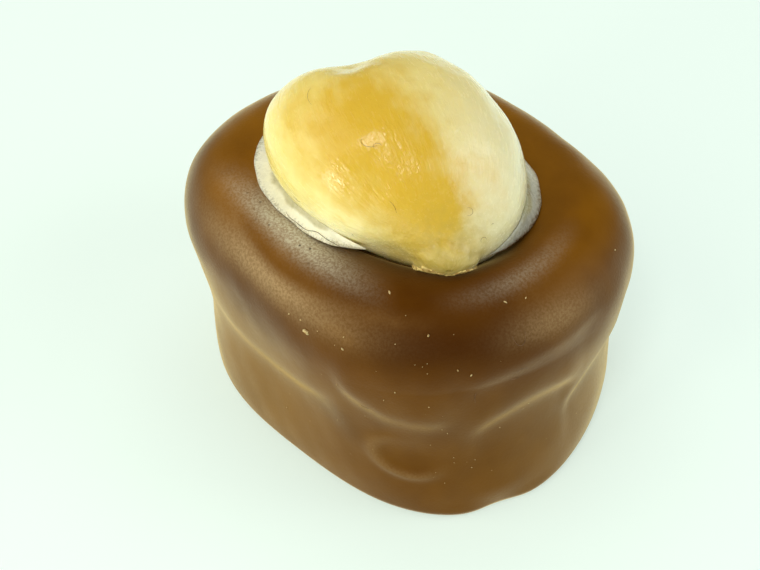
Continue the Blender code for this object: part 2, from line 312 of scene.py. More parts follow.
@dataclass(frozen=True)
class ChocolateFinish:
    """Milk chocolate with a fine grain, a greasy bloom in the dip, milky rubs, and painted light, shade,
    sheen and highlights.
    """

    deep: Colour = (0.070, 0.0215, 0.0010)
    warm: Colour = (0.102, 0.036, 0.0020)
    # Milky colour for rub marks and painted highlights.
    milky: Colour = (0.350, 0.240, 0.120)
    # Painted sheen: a pale tan for the flanks, where they would mirror the bright floor.
    flank_sheen_tan: Colour = (0.370, 0.224, 0.058)
    # Painted light: a lighter amber along the rim's crest.
    lit_crest_amber: Colour = (0.290, 0.118, 0.0038)
    # Painted shade: a dark brown for the front shoulder.
    dark: Colour = (0.036, 0.0080, 0.0003)
    # Bloom colour, also used for a painted floor reflection low on the right flank.
    bloom_and_reflection: Colour = (0.620, 0.600, 0.460)
    # Dark speck colour, also used for painted shade under the nut's tip.
    speck_and_shade_brown: Colour = (0.030, 0.010, 0.004)
    roughness: float = 0.36
    grain: float = 0.012 * MM
    lit_crest_share: tuple[float, float] = (0.35, 0.65)
    flank_sheen_share: tuple[float, float] = (0.44, 0.55)
    front_shade_share: float = 0.85
    speck_spacing: float = 0.55 * MM

    def material(self) -> bpy.types.Material:
        """Brown clouds with painted light on the crest, painted shade at the front, painted sheen on the
        flanks, milky rubs with painted highlights, bloom with a painted floor reflection and dark specks,
        painted shade under the tip, and a grain in the normals.
        """
        mix = Recipe("milk_chocolate_coat")
        clouds = mix.noise(5.0 * MM, 3.0)
        fine = mix.noise(0.16 * MM, 3.0, lump=0.6)
        mottle = mix.noise(0.15 * MM, 3.0, lump=0.65)
        brown = mix.tint(mix.step(clouds, 0.3, 0.7), self.deep, self.warm)
        # Painted light along the rim's crest, less at the front.
        brown = mix.tint(mix.patchy("crest", clouds, 0.2, 0.8, *self.lit_crest_share), brown, self.lit_crest_amber)
        # Painted shade: the front shoulder darkened towards the dark brown.
        brown = mix.tint(mix.product(mix.value_of("front_shade"), self.front_shade_share), brown, self.dark)
        # Painted sheen on the flanks, most at the sides and the right, less at the back.
        brown = mix.tint(mix.patchy("flank_sheen", clouds, 0.2, 0.8, *self.flank_sheen_share), brown, self.flank_sheen_tan)
        # Milky rub marks on the shoulders, partly painted highlight, and painted highlights along the folds
        # and the dent's lip.
        brown = mix.tint(mix.patchy("rub", mottle, 0.34, 0.66, 0.55, 1.0), brown, self.milky)
        # Bloom in the dip, and a painted floor reflection low on the right flank.
        greasy = mix.patchy("bloom_and_reflection", mottle, 0.34, 0.66, 0.42, 1.0)
        brown = mix.tint(greasy, brown, self.bloom_and_reflection)
        specks = mix.step(mix.cells(self.speck_spacing), 0.09, 0.20, 1.0, 0.0)
        brown = mix.tint(mix.product(specks, mix.value_of("specks")), brown, self.speck_and_shade_brown)
        # Painted shade on the coat under the nut's tip.
        brown = mix.tint(mix.value_of("shade"), brown, self.speck_and_shade_brown)
        mix.set(Base_Color=brown, Specular_IOR_Level=0.20, IOR=1.47, Specular_Tint=(1.0, 0.60, 0.18))
        mix.set(Sheen_Weight=0.7, Sheen_Roughness=0.30, Sheen_Tint=(1.0, 0.72, 0.24))
        rough = mix.step(fine, 0.2, 0.8, self.roughness - 0.05, self.roughness + 0.06)
        mix.set(Roughness=mix.sum_of(rough, mix.product(greasy, 0.25)))
        coarse = mix.relief(mix.noise(0.9 * MM, 2.0), 0.010 * MM)
        mix.set(Normal=mix.relief(fine, self.grain, coarse))
        return mix.material


@dataclass(frozen=True)
class NutFinish:
    """Blanched roasted kernel: pale cream with a golden patch and streaks that run to the tip."""

    cream: Colour = (0.77, 0.64, 0.21)
    gold: Colour = (0.62, 0.41, 0.040)
    pale: Colour = (0.72, 0.68, 0.43)
    # Painted light: a paler colour for the kernel's lower belly.
    belly: Colour = (0.95, 0.88, 0.50)
    toast: Colour = (0.46, 0.25, 0.05)
    stump: Colour = (0.40, 0.31, 0.075)
    roughness: float = 0.22

    def material(self) -> bpy.types.Material:
        """Colour by patches and streaks, painted light on the lower belly, wax-like light inside, and fibres
        in the normals.
        """
        mix = Recipe("blanched_kernel")
        grain = mix.vector_of("grain_at")
        streaks = mix.noise(1.0, 3.0, grain, 0.6)
        fibres = mix.noise(0.35, 3.0, grain, 0.6)
        clouds = mix.noise(3.0 * MM, 3.0)
        body = mix.tint(mix.value_of("white_side"), self.cream, self.pale)
        # Painted light on the lower belly.
        body = mix.tint(mix.value_of("belly"), body, self.belly)
        golden = mix.sum_of(mix.value_of("golden"), mix.step(clouds, 0.3, 0.7, -0.20, 0.18))
        golden = mix.sum_of(golden, mix.step(mix.noise(1.1 * MM, 3.0), 0.3, 0.7, -0.10, 0.10))
        golden = mix.sum_of(golden, mix.product(mix.step(streaks, 0.35, 0.65, -0.10, 0.10), golden))
        body = mix.tint(mix.step(golden, 0.0, 1.0), body, self.gold)
        thin = mix.product(mix.step(fibres, 0.60, 0.78), mix.value_of("golden"))
        body = mix.tint(mix.product(thin, 0.16), body, self.toast)
        body = mix.tint(mix.patchy("stump", streaks, 0.3, 0.7, 0.45, 1.0), body, self.stump)
        mix.set(Base_Color=body, Specular_IOR_Level=0.5, IOR=1.45)
        mix.set(Subsurface_Weight=0.50, Subsurface_Radius=(1.0, 0.8, 0.4), Subsurface_Scale=2.6 * MM)
        mix.set(Roughness=mix.step(fibres, 0.3, 0.7, self.roughness - 0.08, self.roughness + 0.08))
        dimples = mix.relief(mix.noise(0.7 * MM, 4.0, lump=0.6), 0.055 * MM)
        coarse = mix.relief(streaks, 0.030 * MM, dimples)
        mix.set(Normal=mix.relief(fibres, 0.030 * MM, coarse))
        return mix.material


@dataclass(frozen=True)
class FatFinish:
    """Set fat: milky, half clear and lumpy."""

    milk: Colour = (0.92, 0.87, 0.62)
    clear: Colour = (0.86, 0.84, 0.64)
    cool: Colour = (0.26, 0.265, 0.22)
    # Painted shadow colour where the collar meets the nut.
    nut_shadow_olive: Colour = (0.34, 0.31, 0.14)
    greasy: Colour = (0.48, 0.45, 0.31)
    cocoa: Colour = (0.095, 0.045, 0.008)
    roughness: float = 0.26

    def material(self) -> bpy.types.Material:
        """Milky clouds with light inside, a painted olive shadow where the collar meets the nut, and soft
        lumps in the normals.
        """
        mix = Recipe("set_fat_milky")
        clouds = mix.noise(1.5 * MM, 2.0)
        fine = mix.noise(0.30 * MM, 3.0)
        share = mix.sum_of(mix.value_of("edge"), mix.step(clouds, 0.3, 0.7, -0.20, 0.12))
        milky = mix.tint(mix.step(share, 0.45, 1.0), self.milk, self.clear)
        milky = mix.tint(mix.product(mix.value_of("cool"), 0.9), milky, self.cool)
        # Painted shadow: an olive line on the collar's side next to the nut.
        beside = mix.sum_of(mix.value_of("fringe"), mix.step(clouds, 0.3, 0.7, -0.08, 0.08))
        milky = mix.tint(mix.step(beside, 0.03, 0.22, 0.65, 0.0), milky, self.nut_shadow_olive)
        mottle = mix.noise(0.15 * MM, 3.0, lump=0.65)
        thinning = mix.sum_of(mix.value_of("fringe"), mix.step(mottle, 0.34, 0.66, -0.22, 0.16))
        thinning = mix.sum_of(thinning, mix.step(clouds, 0.3, 0.7, -0.10, 0.10))
        below = mix.tint(mix.value_of("cool"), self.greasy, self.cocoa)
        mix.set(Base_Color=mix.tint(mix.step(thinning, 0.45, 0.95), milky, below))
        mix.set(Subsurface_Weight=0.6, Subsurface_Radius=(1.0, 0.9, 0.7), Subsurface_Scale=0.6 * MM)
        mix.set(Roughness=mix.step(fine, 0.3, 0.7, self.roughness - 0.1, self.roughness + 0.12))
        mix.set(Normal=mix.relief(fine, 0.010 * MM, mix.relief(clouds, 0.04 * MM)))
        return mix.material


@dataclass(frozen=True)
class DryFinish:
    """A dry matt finish in two colours: crumbs, skin flakes or lint."""

    name: str
    light: Colour
    dark: Colour
    patch: float
    roughness: float = 0.6

    def material(self) -> bpy.types.Material:
        """Patches of both colours with a rough surface."""
        mix = Recipe(self.name)
        patches = mix.noise(self.patch, 3.0)
        mix.set(Base_Color=mix.tint(mix.step(patches, 0.38, 0.62), self.dark, self.light))
        mix.set(Roughness=mix.step(patches, 0.3, 0.7, self.roughness + 0.1, self.roughness - 0.1))
        mix.set(Normal=mix.relief(mix.noise(self.patch / 3.0), self.patch * 0.2))
        return mix.material


@dataclass
class Nut:
    """The whole kernel: an uneven ellipsoid with a flat point at one end and a groove at the other."""

    middle: tuple[float, float, float] = (-0.90 * MM, -1.24 * MM, 18.10 * MM)
    half_size: tuple[float, float, float] = (8.36 * MM, 6.63 * MM, 5.62 * MM)
    turn: float = 13.5
    dip: float = -11.6
    tip_turn: float = -23.1
    tip_rise: float = -14.2
    swellings: tuple[Lobe, ...] = (
        (-23.1, -14.2, 0.51 * MM, 0.55),
        (-23.1, -14.2, 0.47 * MM, 0.17),
        (1.9, -18.4, 0.82 * MM, 0.45),
        (171.7, 32.7, -2.06 * MM, 0.595),
        (-160.0, 62.6, -0.34 * MM, 0.17),
        (-150.0, 40.0, 0.36 * MM, 0.26),
    )
    golden: tuple[Lobe, ...] = (
        (-59.0, 44.0, 0.95, 0.68),
        (-30.0, 14.0, 0.62, 0.36),
        (-80.0, 64.0, 0.35, 0.42),
        (-92.0, 30.0, 0.25, 0.40),
        (-26.0, -9.0, 0.55, 0.34),
    )
    white: tuple[Lobe, ...] = ((30.0, 0.0, 1.0, 0.95), (-15.0, -14.0, 0.4, 0.40))
    # Painted light: the kernel's lower front belly made paler.
    belly: tuple[Lobe, ...] = ((-72.0, -18.0, 1.0, 0.40),)
    stub_height: float = 0.26 * MM
    stub_angle: float = 0.215
    flute_depth: float = 0.085 * MM
    columns: int = 300
    rows: int = 190

    def reach(self, ways: np.ndarray) -> np.ndarray:
        """Distance from the middle to the smooth surface.

        1 / sqrt(sum of (way.axis / half size)^2) on the tilted axes, plus a Gaussian
        height * exp(-(angle to peak / width)^2) for each swelling.

        Args:
            ways: unit vectors, shape (..., 3).

        Returns:
            Distances, shape (...).
        """
        turn, dip = math.radians(self.turn), math.radians(self.dip)
        along = heading(turn, dip)
        across = heading(turn + math.pi / 2.0, 0.0)
        upward = np.cross(along, across)
        shares = [ways @ axis / size for axis, size in zip((along, across, upward), self.half_size)]
        return 1.0 / np.sqrt(sum(share**2 for share in shares)) + self.lobes(ways, self.swellings)

    def around(self, turn: np.ndarray, rise: np.ndarray | float, gap: np.ndarray | float) -> np.ndarray:
        """Places at a turn and rise about the middle, a gap outside the surface."""
        ways = heading(turn, rise)
        return np.array(self.middle) + ways * (self.reach(ways) + gap)[..., None]

    def tip_axes(self, lower: float = 0.0) -> tuple[np.ndarray, np.ndarray, np.ndarray]:
        """Unit vectors out through the tip, or degrees lower, level across it, and upwards from both."""
        tip = heading(math.radians(self.tip_turn), math.radians(self.tip_rise - lower))
        across = heading(math.radians(self.tip_turn) + math.pi / 2.0, 0.0)
        return tip, across, np.cross(tip, across)

    def ways(self, spin: np.ndarray, angle: np.ndarray, lower: float = 0.0) -> np.ndarray:
        """Unit vectors at an angle from the tip: cos a tip + sin a (cos s across + sin s upward)."""
        tip, across, upward = self.tip_axes(lower)
        ring = np.cos(spin)[..., None] * across + np.sin(spin)[..., None] * upward
        return np.cos(angle)[..., None] * tip + np.sin(angle)[..., None] * ring

    def flutes(self, spin: np.ndarray, angle: np.ndarray) -> np.ndarray:
        """Shallow grooves that run to the tip.

        A sum of cos(count * (spin + drift * angle) + phase), seeded, times an envelope that is 0
        at the tip, nearly twice as deep 0.4 rad from it and fades to a fifth towards the blunt end.
        """
        draw = np.random.default_rng(11)
        total = np.zeros(np.broadcast(spin, angle).shape)
        for count in (2, 3, 5, 8):
            drift, phase = draw.uniform(-0.25, 0.25), draw.uniform(0.0, math.tau)
            patch = 0.6 + 0.4 * np.sin(draw.uniform(2.0, 4.0) * angle + draw.uniform(0.0, math.tau))
            total = total + patch * np.cos(count * (spin + drift * angle) + phase) / math.sqrt(count)
        envelope = smooth_step((angle - 0.08) / 0.25) * blend(1.0, 0.18, smooth_step((angle - 0.4) / 1.0))
        return self.flute_depth * total * envelope * (1.0 + 0.9 * bell((angle - 0.4) / 0.2))

    def stub(self, spin: np.ndarray, angle: np.ndarray) -> np.ndarray:
        """A blunt stump at the tip: a smooth step up inside a ragged angle from it."""
        edge = self.stub_angle * (1.0 + 0.10 * np.cos(3.0 * spin + 1.0) + 0.06 * np.cos(7.0 * spin))
        return self.stub_height * smooth_step((edge - angle) / 0.06)

    def facing(self, ways: np.ndarray, turn: float, rise: float, width: float) -> np.ndarray:
        """1 towards a turn and rise in degrees, falling off as a Gaussian of that width in radians."""
        peak = heading(math.radians(turn), math.radians(rise))
        return bell(np.arccos(np.clip(ways @ peak, -1.0, 1.0)) / width)

    def lobes(self, ways: np.ndarray, rows: tuple[Lobe, ...]) -> np.ndarray:
        """Sum over rows of turn, rise, height and width: height * the Gaussian of facing them."""
        return sum(height * self.facing(ways, turn, rise, width) for turn, rise, height, width in rows)

    def skin(self) -> Skin:
        """The kernel's surface on a grid of spin about the tip's axis and angle from the tip."""
        angle = np.linspace(0.0, math.pi, self.rows + 2)[1:-1, None]
        spin = np.linspace(0.0, math.tau, self.columns, endpoint=False)[None, :]
        angle, spin = np.broadcast_arrays(angle, spin)
        ways = self.ways(spin, angle)
        rough = Ripple(5, 4.5 * MM, 0.045 * MM)
        small = Ripple(6, 1.6 * MM, 0.012 * MM)
        smooth = np.array(self.middle) + ways * self.reach(ways)[..., None]
        extra = self.flutes(spin, angle) + self.stub(spin, angle) + rough.at(smooth) + small.at(smooth)
        points = smooth + ways * extra[..., None]
        poles = [self.at_end(way) + way * (rough.at(self.at_end(way)) + small.at(self.at_end(way)))
                 for way in (self.tip_axes()[0], -self.tip_axes()[0])]
        return Skin.over(points, *poles, self.shades(ways, spin, angle))

    def shades(self, ways: np.ndarray, spin: np.ndarray, angle: np.ndarray) -> dict[str, np.ndarray]:
        """Where the kernel is golden and white, where light is painted on its lower belly, where it is dry,
        and where its grain runs.

        The grain lies at (spread cos s, spread sin s, 2.2 a), with a spread that narrows towards
        the tip so that only a few ridges meet there.

        Args:
            ways: unit vectors of the grid.
            spin: spin of each place about the tip's axis.
            angle: angle of each place from the tip.

        Returns:
            Values for the finish, each of the grid's shape.
        """
        spread = blend(1.2, 9.0, smooth_step(angle / 0.7))
        return {
            "golden": np.clip(self.lobes(ways, self.golden), 0.0, 1.0),
            "white_side": np.clip(self.lobes(ways, self.white), 0.0, 1.0),
            # painted light on the lower belly
            "belly": self.lobes(ways, self.belly),
            "grain_at": np.stack([np.cos(spin) * spread, np.sin(spin) * spread, angle * 2.2], -1),
            "stump": 0.9 * bell(angle / 0.40),
        }

    def at_end(self, way: np.ndarray) -> np.ndarray:
        """Place of the smooth surface along one way."""
        return np.array(self.middle) + way * self.reach(way)

    def build(self) -> bpy.types.Object:
        """Makes and dresses the kernel."""
        return self.skin().piece("hazelnut_kernel", NutFinish().material(), Slot.NUT, "hazelnut")


@dataclass(frozen=True)
class BloomBand:
    """A dusty band in the dip: an arc round a middle whose radius grows away from its own turn."""

    middle: tuple[float, float]
    turn: float
    peak: float
    spread: tuple[float, float]
    radius: float
    growth: tuple[float, float]
    width: tuple[float, float]
    strength: float

    def at(self, points: np.ndarray) -> np.ndarray:
        """strength * exp(-((r - line) / width)^2) * a fade from the peak out to past the spread.

        The line is radius + growth * degrees^2, with a growth and a spread for each side, and one
        width inside the line and another outside it.
        """
        x, y = points[..., 0] - self.middle[0], points[..., 1] - self.middle[1]
        turn = np.arctan2(y, x)
        away = np.degrees(angle_from(turn, self.turn))
        growth = np.where(away < 0.0, *self.growth)
        off = np.degrees(angle_from(turn, self.peak))
        fade = smooth_step(1.0 - 0.74 * np.abs(off) / np.where(off < 0.0, *self.spread))
        over = np.hypot(x, y) - self.radius - growth * away**2
        return self.strength * fade * bell(over / np.where(over < 0.0, *self.width))


@dataclass(frozen=True)
class Patch:
    """A soft patch on the outside of the coat, round a turn and a height."""

    turn: float
    half_turn: float
    height: float
    half_height: float
    strength: float

    def at(self, turn: np.ndarray, height: np.ndarray) -> np.ndarray:
        """strength * exp(-(turn off / half turn)^2) * exp(-(height off / half height)^2)."""
        level = bell((height - self.height) / self.half_height)
        return self.strength * near_turn(turn, self.turn, self.half_turn) * level


@dataclass
class Coat:
    """The chocolate: uneven oval rings from the dip under the nut, over the rim and down the side.

    A row of waves holds a count, then size and peak at the foot and at the rim. A row of folds
    holds its turns from and to, its heights there and midway in the order that it runs, and its
    depth. Turns and peaks are in degrees.
    """

    nut: Nut
    height: float = 15.65 * MM
    widest_height: float = 11.0 * MM
    waist_height: float = 5.8 * MM
    widest_radius: float = 13.4 * MM
    waist_radius: float = 13.09 * MM
    foot_radius: float = 13.63 * MM
    foot_edge: float = 0.7 * MM
    crest_radius: float = 9.35 * MM
    fullness: float = 2.3
    rim_middle: tuple[float, float] = (-0.36 * MM, -0.37 * MM)
    foot_middle: tuple[float, float] = (0.54 * MM, -0.20 * MM)
    waves: tuple[tuple[float, ...], ...] = (
        (2, 0.071, -7.0, 0.093, 8.0),
        (3, 0.016, -37.0, 0.009, -48.0),
        (4, 0.029, -32.0, 0.032, 35.0),
    )
    folds: tuple[tuple[float, ...], ...] = (
        (236, 296, 7.5 * MM, 6.9 * MM, 8.2 * MM, 0.18 * MM),
        (293, 327, 10.4 * MM, 8.2 * MM, 8.2 * MM, 0.20 * MM),
        (327, 364, 6.5 * MM, 8.3 * MM, 7.6 * MM, 0.23 * MM),
        (-4, 24, 5.0 * MM, 7.4 * MM, 7.9 * MM, 0.19 * MM),
        (326, 372, 10.6 * MM, 11.8 * MM, 12.5 * MM, 0.14 * MM),
        (30, 112, 8.2 * MM, 7.2 * MM, 8.4 * MM, 0.26 * MM),
        (118, 176, 9.2 * MM, 7.6 * MM, 7.4 * MM, 0.28 * MM),
        (172, 232, 6.6 * MM, 7.8 * MM, 7.2 * MM, 0.24 * MM),
    )
    fold_sharpness: float = 0.80 * MM
    fold_reach: float = 2.6 * MM
    fold_fade: float = 0.4
    dent_turn: float = 314.0
    dent_height: float = 5.1 * MM
    dent_half_size: tuple[float, float] = (2.2 * MM, 1.45 * MM)
    dent_depth: float = 0.12 * MM
    dent_lip: float = 0.15 * MM
    nick_turn: float = 336.0
    nick_half_width: float = 1.6 * MM
    nick_height: float = 2.4 * MM
    nick_depth: float = 0.45 * MM
    hollow_gap: float = 0.06 * MM
    contact: float = -32.0
    tip_lift: float = 8.0
    tip_width: float = 30.0
    pull: float = 0.45
    clear_turn: float = 318.0
    bands: tuple[BloomBand, ...] = (
        BloomBand(
            middle=(-0.90 * MM, -1.24 * MM), turn=264.0, peak=265.0, spread=(40.0, 40.0), radius=7.70 * MM,
            growth=(0.00148 * MM, 0.00092 * MM), width=(1.9 * MM, 0.80 * MM), strength=0.88,
        ),
        BloomBand(
            middle=(-0.36 * MM, -0.37 * MM), turn=354.0, peak=354.0, spread=(26.0, 24.0), radius=10.70 * MM,
            growth=(0.0, 0.0), width=(0.60 * MM, 0.60 * MM), strength=0.20,
        ),
    )
    # Painted reflection of the bright floor, low on the right flank.
    floor_reflection: Patch = Patch(68.0, 24.0, 7.0 * MM, 3.5 * MM, 0.22)
    # Milky bands on the shoulders: partly rub marks, partly painted highlight.
    left_rub_and_highlight: Patch = Patch(266.0, 30.0, 14.25 * MM, 0.95 * MM, 0.95)
    right_rub_and_highlight: Patch = Patch(354.0, 13.0, 13.9 * MM, 0.80 * MM, 0.50)
    # Painted shade on the front shoulder, in place of a dark reflection.
    front_shade_patch: Patch = Patch(325.0, 30.0, 14.0 * MM, 1.5 * MM, 1.0)
    # Painted highlight along each fold's upper lip.
    fold_highlight_above: float = 0.2 * MM
    fold_highlight_width: float = 0.4 * MM
    dent_rim: float = 1.05
    bloom_from: float = 14.4 * MM
    bloom_fade: float = 0.6 * MM
    # Radius from which the shoulder bands of rub and painted highlight begin.
    rub_and_highlight_from: float = 10.6 * MM
    rub_and_highlight_fade: float = 0.8 * MM
    # Where the painted sheen on the flanks fades out upwards, and where it is stronger on the right.
    flank_sheen_below: float = 12.0 * MM
    flank_sheen_fade: float = 4.2 * MM
    flank_sheen_right: tuple[float, float] = (50.0, 30.0)
    clear_back: tuple[float, float] = (145.0, 50.0)
    clear_width: float = 50.0
    # Height and half height of the painted light along the rim's crest.
    lit_crest_height: float = 15.5 * MM
    lit_crest_half_height: float = 0.9 * MM
    tip_shade_reach: float = 0.55 * MM
    tip_shade_width: float = 22.0
    calm_foot: float = 1.5 * MM
    columns: int = 400

    def outline(self, turn: np.ndarray, rim_share: float) -> np.ndarray:
        """1 + sum of size * cos(count * (turn - peak)), blended from the foot's waves to the rim's."""
        factor = np.ones_like(turn)
        for count, foot_size, foot_peak, rim_size, rim_peak in self.waves:
            foot = foot_size * np.cos(count * (turn - math.radians(foot_peak)))
            rim = rim_size * np.cos(count * (turn - math.radians(rim_peak)))
            factor = factor + blend(foot, rim, rim_share)
        return factor

    def fold_parts(self, turn: np.ndarray, height: float,
                   fold: tuple[float, ...]) -> tuple[np.ndarray, np.ndarray]:
        """How much of a fold there is at each turn, and the height above its sagging line."""
        start, end, start_height, middle_height, end_height, _ = fold
        along = angle_from(turn, (start + end) / 2.0) / (math.radians(end - start) / 2.0)
        bend = (start_height + end_height) / 2.0 - middle_height
        line = middle_height + (end_height - start_height) / 2.0 * along + bend * along**2
        return smooth_step((1.0 - np.abs(along)) / self.fold_fade), height - line

    def fold_relief(self, turn: np.ndarray, height: float) -> np.ndarray:
        """Sum over folds of depth * window * tanh(over / sharpness) * exp(-(over / reach)^2)."""
        offset = np.zeros_like(turn)
        for fold in self.folds:
            window, over = self.fold_parts(turn, height, fold)
            shape = np.tanh(over / self.fold_sharpness) * bell(over / self.fold_reach)
            offset = offset + fold[5] * window * shape
        return offset

    def fold_highlight(self, turn: np.ndarray, height: float) -> np.ndarray:
        """Painted highlight along each fold's upper lip: window * exp(-((over - its height above) / its
        width)^2).
        """
        rub = np.zeros_like(turn)
        for fold in self.folds:
            window, over = self.fold_parts(turn, height, fold)
            rub = np.maximum(rub, window * bell((over - self.fold_highlight_above) / self.fold_highlight_width))
        return rub

    def dent_parts(self, turn: np.ndarray, height: float) -> tuple[np.ndarray, np.ndarray]:
        """Distance from the dent's middle in its half sizes, and how far to its lower left."""
        along = angle_from(turn, self.dent_turn) * self.waist_radius / self.dent_half_size[0]
        up = (height - self.dent_height) / self.dent_half_size[1]
        return np.hypot(along, up), smooth_step((1.0 - up - along) / 2.0)

    def dent_relief(self, turn: np.ndarray, height: float) -> np.ndarray:
        """Gaussian hollow with a crescent lip along its lower left."""
        distance, lower_left = self.dent_parts(turn, height)
        lip = self.dent_lip * bell((distance - self.dent_rim) / 0.25) * lower_left
        return lip - self.dent_depth * bell(distance / 0.75)

    def nick_relief(self, turn: np.ndarray, height: float) -> np.ndarray:
        """Gaussian nick in the foot, fading upwards."""
        along = angle_from(turn, self.nick_turn) * self.foot_radius / self.nick_half_width
        return -self.nick_depth * bell(along) * smooth_step(1.0 - height / self.nick_height)

    def ring(self, turn: np.ndarray, height: float, radius: float, rim_share: float) -> np.ndarray:
        """One ring: middle + (radius * outline + relief) * (cos t, sin t), at its height."""
        relief = self.fold_relief(turn, height) + self.dent_relief(turn, height)
        relief = relief + self.nick_relief(turn, height)
        reach = radius * self.outline(turn, rim_share) + relief * smooth_step(0.5 + height / self.foot_edge)
        middle = blend(np.array(self.foot_middle), np.array(self.rim_middle), rim_share)
        x = middle[0] + reach * np.cos(turn)
        y = middle[1] + reach * np.sin(turn)
        return np.stack([x, y, np.full_like(x, height)], -1)

    def side(self, turn: np.ndarray, height: float) -> np.ndarray:
        """Side: smooth steps in radius from the widest ring to the waist and out to the foot."""
        above = smooth_step((height - self.waist_height) / (self.widest_height - self.waist_height))
        below = smooth_step((self.waist_height - height) / (self.waist_height - self.foot_edge))
        radius = self.waist_radius + (self.widest_radius - self.waist_radius) * above
        radius = radius + (self.foot_radius - self.waist_radius) * below
        under = np.clip(1.0 - height / self.foot_edge, 0.0, 1.0)
        radius = radius - self.foot_edge * (1.0 - np.sqrt(1.0 - under**2))
        return self.ring(turn, height, radius, height / self.widest_height)

    def shoulder(self, turn: np.ndarray, share: float) -> np.ndarray:
        """Shoulder from the crest at 0 to the widest ring at 1, a fuller quarter ellipse."""
        climb = math.cos(share * math.pi / 2.0)
        height = blend(self.widest_height, self.height, climb)
        radius = blend(self.crest_radius, self.widest_radius, math.sqrt(1.0 - climb**self.fullness))
        return self.ring(turn, height, radius, 1.0)

    def contact_rise(self, turn: np.ndarray) -> np.ndarray:
        """Rise about the nut's middle at which the dip leaves the nut: a Gaussian higher at the tip."""
        tip = near_turn(turn, self.nut.tip_turn, self.tip_width)
        return np.radians(self.contact + self.tip_lift * tip)

    def slope(self, turn: np.ndarray, share: float) -> np.ndarray:
        """Inner slope: a cubic Hermite curve from the nut, along its wall, to the level crest."""
        rise = self.contact_rise(turn)
        start = self.nut.around(turn, rise, self.hollow_gap)
        wall = unit(start - self.nut.around(turn, rise - 0.05, self.hollow_gap))
        crest = self.shoulder(turn, 0.0)
        span = np.linalg.norm(crest - start, axis=-1, keepdims=True)
        s = share
        near = (2 * s**3 - 3 * s**2 + 1) * start + (s**3 - 2 * s**2 + s) * wall * span * self.pull
        far = (3 * s**2 - 2 * s**3) * crest + (s**3 - s**2) * heading(turn, 0.0) * span
        return near + far

    def hollow(self, turn: np.ndarray, share: float) -> np.ndarray:
        """Hollow under the nut: its own surface, from straight below at 0 to the contact at 1."""
        return self.nut.around(turn, blend(-math.pi / 2.0, self.contact_rise(turn), share), self.hollow_gap)

    def section(self, turn: np.ndarray) -> np.ndarray:
        """All rings of the coat, from straight below the nut, over the rim and down to the floor.

        Args:
            turn: turn of each column in radians.

        Returns:
            The grid of places, whose first Zone.HOLLOW.value rings lie in the hollow.
        """
        rings = [self.hollow(turn, share) for share in Zone.HOLLOW.shares(1, 1)]
        rings += [self.slope(turn, share) for share in Zone.SLOPE.shares(1)]
        rings += [self.shoulder(turn, share) for share in Zone.SHOULDER.shares()]
        heights = [blend(self.widest_height, self.foot_edge, share) for share in Zone.SIDE.shares()]
        quarters = [share * math.pi / 2.0 for share in Zone.FOOT.shares(0, 1)]
        heights += [self.foot_edge * (1.0 - math.sin(quarter)) for quarter in quarters]
        rings += [self.side(turn, height) for height in heights]
        return np.stack(rings)

    def spot(self, turn: np.ndarray, height: np.ndarray) -> np.ndarray:
        """Places on the outside of the coat at given turns and heights.

        Args:
            turn: turns in radians, shape (n,).
            height: heights in metres, from the floor to the crest, shape (n,).

        Returns:
            Places, shape (n, 3).
        """
        climb = np.clip((height - self.widest_height) / (self.height - self.widest_height), 0.0, 1.0)
        shares = np.arccos(climb) * 2.0 / math.pi
        places = [self.shoulder(turn[i:i + 1], float(shares[i])) if climb[i] > 0.0
                  else self.side(turn[i:i + 1], float(height[i])) for i in range(len(turn))]
        return np.concatenate(places)

    def masks(self, points: np.ndarray, turn: np.ndarray) -> dict[str, np.ndarray]:
        """Where the coat is bloomed, rubbed or specked, and where light and shade are painted on it, from 0
        to 1: a floor reflection with the bloom, highlights with the rubs, sheen on the flanks, shade under
        the nut's tip, light on the crest and shade at the front.

        Args:
            points: the coat's grid.
            turn: turn of each column.

        Returns:
            Values for the finish, each of the grid's shape.
        """
        height = points[..., 2]
        turn = np.broadcast_to(turn, height.shape)
        top = smooth_step((height - self.bloom_from) / self.bloom_fade)
        bloom_and_reflection = np.clip(sum(band.at(points) for band in self.bands), 0.0, 1.0) * top
        outside = smooth_step((np.hypot(points[..., 0], points[..., 1]) - self.rub_and_highlight_from) / self.rub_and_highlight_fade)
        distance, lower_left = self.dent_parts(turn, height)
        # Painted highlight on the dent's lower left lip and along the folds; the shoulder bands are part rub,
        # part painted highlight.
        lip_highlight = bell((distance - self.dent_rim) / 0.2) * lower_left
        rub = np.maximum(0.07 * self.fold_highlight(turn, height), 0.22 * lip_highlight)
        rub = np.maximum(rub, outside * (self.left_rub_and_highlight.at(turn, height) + self.right_rub_and_highlight.at(turn, height)))
        # Painted sheen on the flanks: most at the left and right, more on the right, less at the back, fading
        # out upwards by 12 mm.
        flank_sheen = 0.50 - 0.40 * np.cos(2.0 * angle_from(turn, self.clear_turn))
        flank_sheen = flank_sheen + 0.30 * near_turn(turn, *self.flank_sheen_right)
        flank_sheen = flank_sheen * (1.0 - 0.45 * near_turn(turn, *self.clear_back))
        flank_sheen = flank_sheen * smooth_step((self.flank_sheen_below - height) / self.flank_sheen_fade)
        clear = near_turn(turn, self.clear_turn, self.clear_width)
        # Painted light along the rim's crest, left out at the front.
        lit_crest_amber = bell((height - self.lit_crest_height) / self.lit_crest_half_height) * (1.0 - clear)
